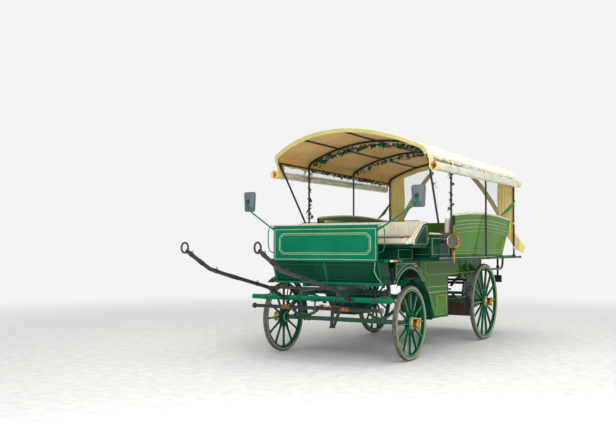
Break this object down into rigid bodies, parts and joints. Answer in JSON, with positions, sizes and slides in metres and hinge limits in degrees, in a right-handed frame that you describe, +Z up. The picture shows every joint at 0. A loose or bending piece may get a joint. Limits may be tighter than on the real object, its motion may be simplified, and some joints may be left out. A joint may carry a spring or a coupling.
{
  "type": "horse-drawn carriage",
  "caption": "Horse-drawn wagonette with spoked wheels, turntable steering, hinged shafts, facing side benches, a driver's seat, drop lockers, a rear door and a canvas canopy on posts.",
  "frame": {"origin": "on the ground under the middle of the whole carriage, shafts included", "axes": "+X forward towards the shaft tips, +Y to the carriage's left, +Z up"},
  "size_m": [6.27, 2.47, 2.7552],
  "materials": {
    "wood_green": "painted gloss",
    "iron_green": "gloss",
    "iron_black": "semi gloss",
    "tyre": "matt",
    "brass": "polished",
    "panel_light": "gloss",
    "cushion": "satin",
    "canvas": "matt",
    "clear_roll": "gloss",
    "mirror_grey": "satin",
    "board_brown": "matt",
    "lamp": "gloss"
  },
  "bodies": {
    "carriage": {"bench_cushions": "cushion", "benches": "wood_green", "body_sides": "panel_light", "brakes": "iron_black", "canopy_bows": "iron_black", "canopy_posts": "iron_black", "carriage_lamps": "brass", "curtain_rolls": "clear_roll", "dash_panel": "wood_green", "deck": "wood_green", "driver_arm_pads": "cushion", "driver_back_pad": "cushion", "driver_cushion": "cushion", "driver_seat": "wood_green", "floor": "wood_green", "lights": "lamp", "locker_hinges": "iron_black", "lockers": "wood_green", "low_sides": "wood_green", "mirror_arms": "iron_green", "mirror_heads": "mirror_grey", "rear_axle": "iron_black", "rear_curtain": "canvas", "rear_springs": "iron_green", "rear_steps": "wood_green", "rear_wall": "wood_green", "roof_canvas": "canvas", "seat_box": "wood_green", "side_ledges": "wood_green", "side_pads": "cushion", "spring_loops": "iron_green", "step_board": "board_brown", "tall_sides": "panel_light", "toe_board": "wood_green", "underframe": "iron_green"},
    "fore_carriage": {"fore_frame": "iron_green", "front_axle": "iron_black", "front_springs": "iron_green", "front_guards": "iron_black"},
    "shafts": {"shafts": "wood_green"},
    "draught_bar": {"draught_bar": "iron_black"},
    "locker_door_left": {"locker_door_left": "panel_light", "locker_handle_left": "brass"},
    "locker_door_right": {"locker_door_right": "panel_light", "locker_handle_right": "brass"},
    "rear_door": {"rear_door": "wood_green"},
    "wheel_front_left": {"wheel_front_left": "wood_green", "tyre_front_left": "tyre", "hub_cap_front_left": "brass"},
    "wheel_front_right": {"wheel_front_right": "wood_green", "tyre_front_right": "tyre", "hub_cap_front_right": "brass"},
    "wheel_rear_left": {"wheel_rear_left": "wood_green", "tyre_rear_left": "tyre", "hub_cap_rear_left": "brass"},
    "wheel_rear_right": {"wheel_rear_right": "wood_green", "tyre_rear_right": "tyre", "hub_cap_rear_right": "brass"}
  },
  "joints": [
    {"name": "steering", "type": "hinge", "parent": "carriage", "child": "fore_carriage", "pos_m": [0.635, 0, 0.78], "axis": [0, 0, 1], "range_deg": [-25, 25]},
    {"name": "wheel_front_left_spin", "type": "hinge", "parent": "fore_carriage", "child": "wheel_front_left", "pos_m": [0.635, 0.875, 0.435], "axis": [0, 1, 0], "continuous": true},
    {"name": "wheel_front_right_spin", "type": "hinge", "parent": "fore_carriage", "child": "wheel_front_right", "pos_m": [0.635, -0.875, 0.435], "axis": [0, 1, 0], "continuous": true},
    {"name": "wheel_rear_left_spin", "type": "hinge", "parent": "carriage", "child": "wheel_rear_left", "pos_m": [-1.925, 0.875, 0.54], "axis": [0, 1, 0], "continuous": true},
    {"name": "wheel_rear_right_spin", "type": "hinge", "parent": "carriage", "child": "wheel_rear_right", "pos_m": [-1.925, -0.875, 0.54], "axis": [0, 1, 0], "continuous": true},
    {"name": "shafts_lift", "type": "hinge", "parent": "fore_carriage", "child": "shafts", "pos_m": [1.285, 0, 0.722], "axis": [0, -1, 0], "range_deg": [-33, 24]},
    {"name": "draught_bar_swing", "type": "hinge", "parent": "fore_carriage", "child": "draught_bar", "pos_m": [1.315, 0, 0.618], "axis": [0, 0, 1], "range_deg": [-12, 12]},
    {"name": "locker_door_left_drop", "type": "hinge", "parent": "carriage", "child": "locker_door_left", "pos_m": [-0.655, 0.758, 0.417], "axis": [-1, 0, 0], "range_deg": [0, 90]},
    {"name": "locker_door_right_drop", "type": "hinge", "parent": "carriage", "child": "locker_door_right", "pos_m": [-0.655, -0.758, 0.417], "axis": [1, 0, 0], "range_deg": [0, 90]},
    {"name": "rear_door_swing", "type": "hinge", "parent": "carriage", "child": "rear_door", "pos_m": [-2.379, -0.3925, 1.3], "axis": [0, 0, 1], "range_deg": [0, 90]}
  ]
}
